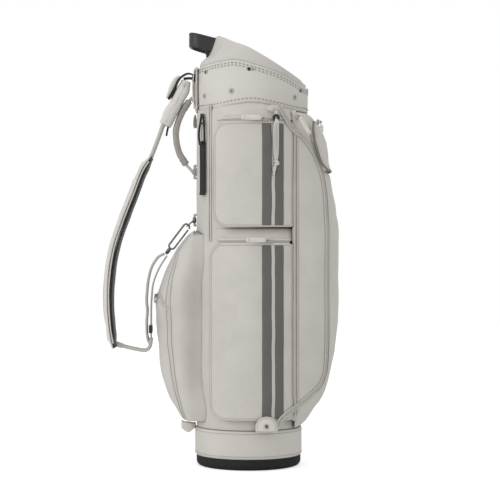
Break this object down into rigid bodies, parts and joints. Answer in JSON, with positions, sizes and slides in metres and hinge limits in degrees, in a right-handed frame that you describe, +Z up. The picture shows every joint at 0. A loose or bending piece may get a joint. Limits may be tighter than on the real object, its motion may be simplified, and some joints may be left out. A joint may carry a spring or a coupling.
{
  "type": "golf staff bag",
  "caption": "Stand-up golf club bag with a slanted divided opening, zipped side, garment and ball pockets, top handle and shoulder strap.",
  "frame": {"origin": "centre of the base where it meets the floor", "axes": "+Z up; -X towards the spine with the strap and ball pocket; +X towards the garment pocket; -Y and +Y the two sides"},
  "size_m": [0.4864, 0.2942, 0.8961],
  "materials": {
    "canvas": "coated woven fabric, pale warm grey",
    "leather_pale": "smooth synthetic leather, pale warm grey",
    "rim_pad": "padded moulded shell, pale grey",
    "webbing_pale": "pale grey webbing",
    "grip_cloth": "mid grey padded tube",
    "mesh_black": "black spacer mesh",
    "stripe_grey": "dark grey woven stripe",
    "webbing_black": "black webbing",
    "leather_black": "black grained leather",
    "rubber_black": "matte rubber",
    "plastic_black": "satin moulded plastic",
    "plastic_grey": "grey moulded plastic",
    "steel": "satin steel",
    "chrome": "bright plated",
    "zip_tape": "pale grey zip tape and coil",
    "cord_pale": "braided cord",
    "divider_cloth": "soft divider cloth"
  },
  "bodies": {
    "bag": {"base_cup": "rubber_black", "base_cuff": "leather_pale", "floor_pad": "rubber_black", "inner_tube": "plastic_grey", "body_shell": "canvas", "stays": "steel", "collar_cover": "leather_pale", "collar_ring": "plastic_grey", "top_rim": "rim_pad", "divider_grid": "divider_cloth", "divider_sheets": "divider_cloth", "hood_studs": "steel", "rim_eyelets": "steel", "top_handle": "leather_black", "strap_anchor_loop": "webbing_pale", "spine_tabs": "webbing_pale", "upper_pocket": "canvas", "far_upper_pocket": "canvas", "lower_pocket": "canvas", "far_lower_pocket": "canvas", "side_stripes": "stripe_grey", "side_zips": "zip_tape", "garment_pocket": "canvas", "front_pocket": "canvas", "ball_pocket": "canvas", "towel_ring": "steel", "cord_tab": "leather_pale", "umbrella_holder": "leather_pale", "lift_loop_tab": "webbing_pale"},
    "shoulder_strap": {"strap_top_loop": "webbing_black", "strap_cover": "canvas", "strap_upper_webbing": "webbing_pale", "shoulder_pad": "canvas", "shoulder_pad_mesh": "mesh_black", "strap_lower_webbing": "webbing_pale", "snap_hook": "steel", "spine_ring": "steel"},
    "strap_adjuster": {"strap_adjuster": "plastic_black"},
    "hook_gate": {"hook_gate": "steel"},
    "carry_handle": {"carry_grip": "grip_cloth", "carry_webbing": "webbing_pale"},
    "towel_clip": {"towel_clip": "plastic_black"},
    "towel_strap": {"towel_strap": "webbing_black"},
    "tee_cord": {"cord_ring": "plastic_black", "tee_cord": "cord_pale"},
    "lift_loop": {"lift_loop": "webbing_black"},
    "ball_slider": {"ball_slider": "chrome"},
    "ball_ring": {"ball_ring": "chrome"},
    "upper_slider": {"upper_slider": "steel"},
    "upper_pull": {"upper_pull": "canvas"},
    "lower_slider": {"lower_slider": "steel"},
    "lower_pull": {"lower_pull": "canvas"},
    "far_upper_slider": {"far_upper_slider": "steel"},
    "far_upper_pull": {"far_upper_pull": "canvas"},
    "far_lower_slider": {"far_lower_slider": "steel"},
    "far_lower_pull": {"far_lower_pull": "canvas"},
    "garment_slider": {"garment_slider": "steel"},
    "garment_pull": {"garment_pull": "canvas"},
    "front_slider": {"front_slider": "steel"},
    "front_pull": {"front_pull": "canvas"}
  },
  "joints": [
    {"name": "strap_swing", "type": "hinge", "parent": "bag", "child": "shoulder_strap", "pos_m": [-0.1125, 0, 0.66], "axis": [0, 0, 1], "range_deg": [-22, 22]},
    {"name": "hook_gate_open", "type": "hinge", "parent": "shoulder_strap", "child": "hook_gate", "pos_m": [-0.14491, 0, 0.46148], "axis": [0, 1, 0], "range_deg": [-14, 0], "stiffness_Nm_per_rad": 0.02, "springref_deg": 17.19},
    {"name": "adjuster_slide", "type": "slide", "parent": "shoulder_strap", "child": "strap_adjuster", "axis": [0, 0, 1], "range_m": [-0.006, 0.006]},
    {"name": "carry_handle_swing", "type": "hinge", "parent": "bag", "child": "carry_handle", "pos_m": [-0.1125, 0, 0.68], "axis": [0, 0, 1], "range_deg": [-45, 45]},
    {"name": "towel_clip_lift", "type": "hinge", "parent": "bag", "child": "towel_clip", "pos_m": [-0.09477, -0.06154, 0.72], "axis": [0.5446, -0.8387, 0], "range_deg": [-70, 0]},
    {"name": "towel_strap_lift", "type": "hinge", "parent": "towel_clip", "child": "towel_strap", "pos_m": [-0.09477, -0.06154, 0.6625], "axis": [0.5446, -0.8387, 0], "range_deg": [-25, 0]},
    {"name": "upper_zip_run", "type": "hinge", "parent": "bag", "child": "upper_slider", "pos_m": [0.008, 0, 0.7055], "axis": [0, 0, 1], "range_deg": [-36, 0]},
    {"name": "upper_pull_swing", "type": "hinge", "parent": "upper_slider", "child": "upper_pull", "pos_m": [0.0285, -0.13242, 0.7055], "axis": [0, 0, 1], "range_deg": [0, 100]},
    {"name": "lower_zip_run", "type": "hinge", "parent": "bag", "child": "lower_slider", "pos_m": [0.008, 0, 0.4615], "axis": [0, 0, 1], "range_deg": [-40, 12]},
    {"name": "lower_pull_swing", "type": "hinge", "parent": "lower_slider", "child": "lower_pull", "pos_m": [0.0375, -0.13071, 0.4615], "axis": [0, 0, 1], "range_deg": [0, 100]},
    {"name": "far_upper_zip_run", "type": "hinge", "parent": "bag", "child": "far_upper_slider", "pos_m": [0.008, 0, 0.7055], "axis": [0, 0, 1], "range_deg": [0, 36]},
    {"name": "far_upper_pull_swing", "type": "hinge", "parent": "far_upper_slider", "child": "far_upper_pull", "pos_m": [0.0285, 0.13242, 0.7055], "axis": [0, 0, 1], "range_deg": [-100, 0]},
    {"name": "far_lower_zip_run", "type": "hinge", "parent": "bag", "child": "far_lower_slider", "pos_m": [0.008, 0, 0.4615], "axis": [0, 0, 1], "range_deg": [-12, 40]},
    {"name": "far_lower_pull_swing", "type": "hinge", "parent": "far_lower_slider", "child": "far_lower_pull", "pos_m": [0.0375, 0.13071, 0.4615], "axis": [0, 0, 1], "range_deg": [-100, 0]},
    {"name": "garment_zip_run", "type": "slide", "parent": "bag", "child": "garment_slider", "axis": [0.5082, 0.1728, -0.8437], "range_m": [0, 0.03]},
    {"name": "garment_pull_swing", "type": "hinge", "parent": "garment_slider", "child": "garment_pull", "pos_m": [0.09891, -0.10862, 0.71183], "axis": [-0.8128, -0.2276, -0.5363], "range_deg": [0, 110]},
    {"name": "front_zip_run", "type": "slide", "parent": "bag", "child": "front_slider", "axis": [0, 0, -1], "range_m": [0, 0.045]},
    {"name": "front_pull_swing", "type": "hinge", "parent": "front_slider", "child": "front_pull", "pos_m": [0.14345, -0.08922, 0.704], "axis": [-0.8383, -0.5452, 0], "range_deg": [0, 110]},
    {"name": "ball_zip_run", "type": "hinge", "parent": "bag", "child": "ball_slider", "pos_m": [-0.1125, 0, 0.352], "axis": [0, 0, 1], "range_deg": [-12, 24]},
    {"name": "ball_ring_swing", "type": "hinge", "parent": "ball_slider", "child": "ball_ring", "pos_m": [-0.19286, -0.02611, 0.352], "axis": [-0.9511, -0.309, 0], "range_deg": [-35, 35]},
    {"name": "cord_swing", "type": "hinge", "parent": "bag", "child": "tee_cord", "pos_m": [0.0551, -0.12598, 0.726], "axis": [0.3502, -0.9367, 0], "range_deg": [-25, 25]},
    {"name": "lift_loop_droop", "type": "hinge", "parent": "bag", "child": "lift_loop", "pos_m": [-0.114, 0, 0.081], "axis": [0, 1, 0], "range_deg": [-30, 0]}
  ]
}
